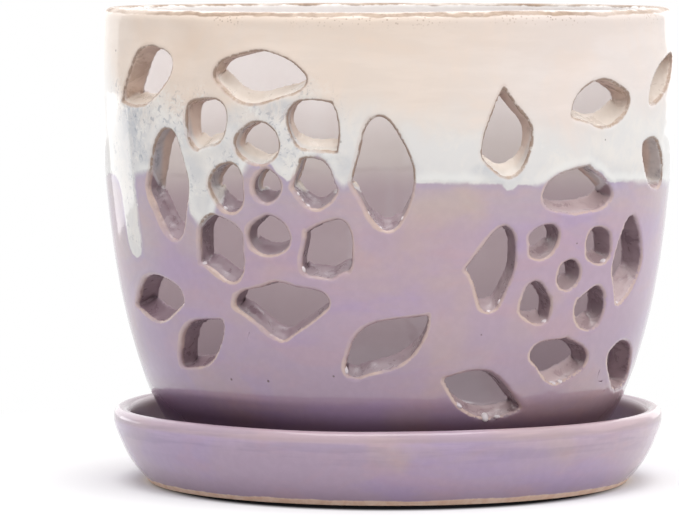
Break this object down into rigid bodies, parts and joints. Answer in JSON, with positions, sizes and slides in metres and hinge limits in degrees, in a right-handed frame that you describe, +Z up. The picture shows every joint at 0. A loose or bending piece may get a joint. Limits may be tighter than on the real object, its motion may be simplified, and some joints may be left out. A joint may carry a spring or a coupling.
{
  "type": "orchid pot",
  "caption": "Rounded glazed orchid pot with petal and leaf shaped air slots through its front, standing in its own saucer.",
  "frame": {"origin": "on the pot's axis, at the saucer's foot", "axes": "+Z up along the axis, -Y towards the slotted front"},
  "size_m": [0.16, 0.16, 0.132],
  "materials": {
    "pot_glaze": "glossy lilac glaze under a cream one, tan where it breaks over the cut edges",
    "saucer_glaze": "glossy lilac glaze, bare tan clay at the foot"
  },
  "bodies": {
    "saucer": {"saucer": "saucer_glaze"},
    "pot": {"pot": "pot_glaze"}
  },
  "joints": [
    {"name": "pot_lift", "type": "slide", "parent": "saucer", "child": "pot", "axis": [0, 0, 1], "range_m": [0, 0.06]}
  ]
}
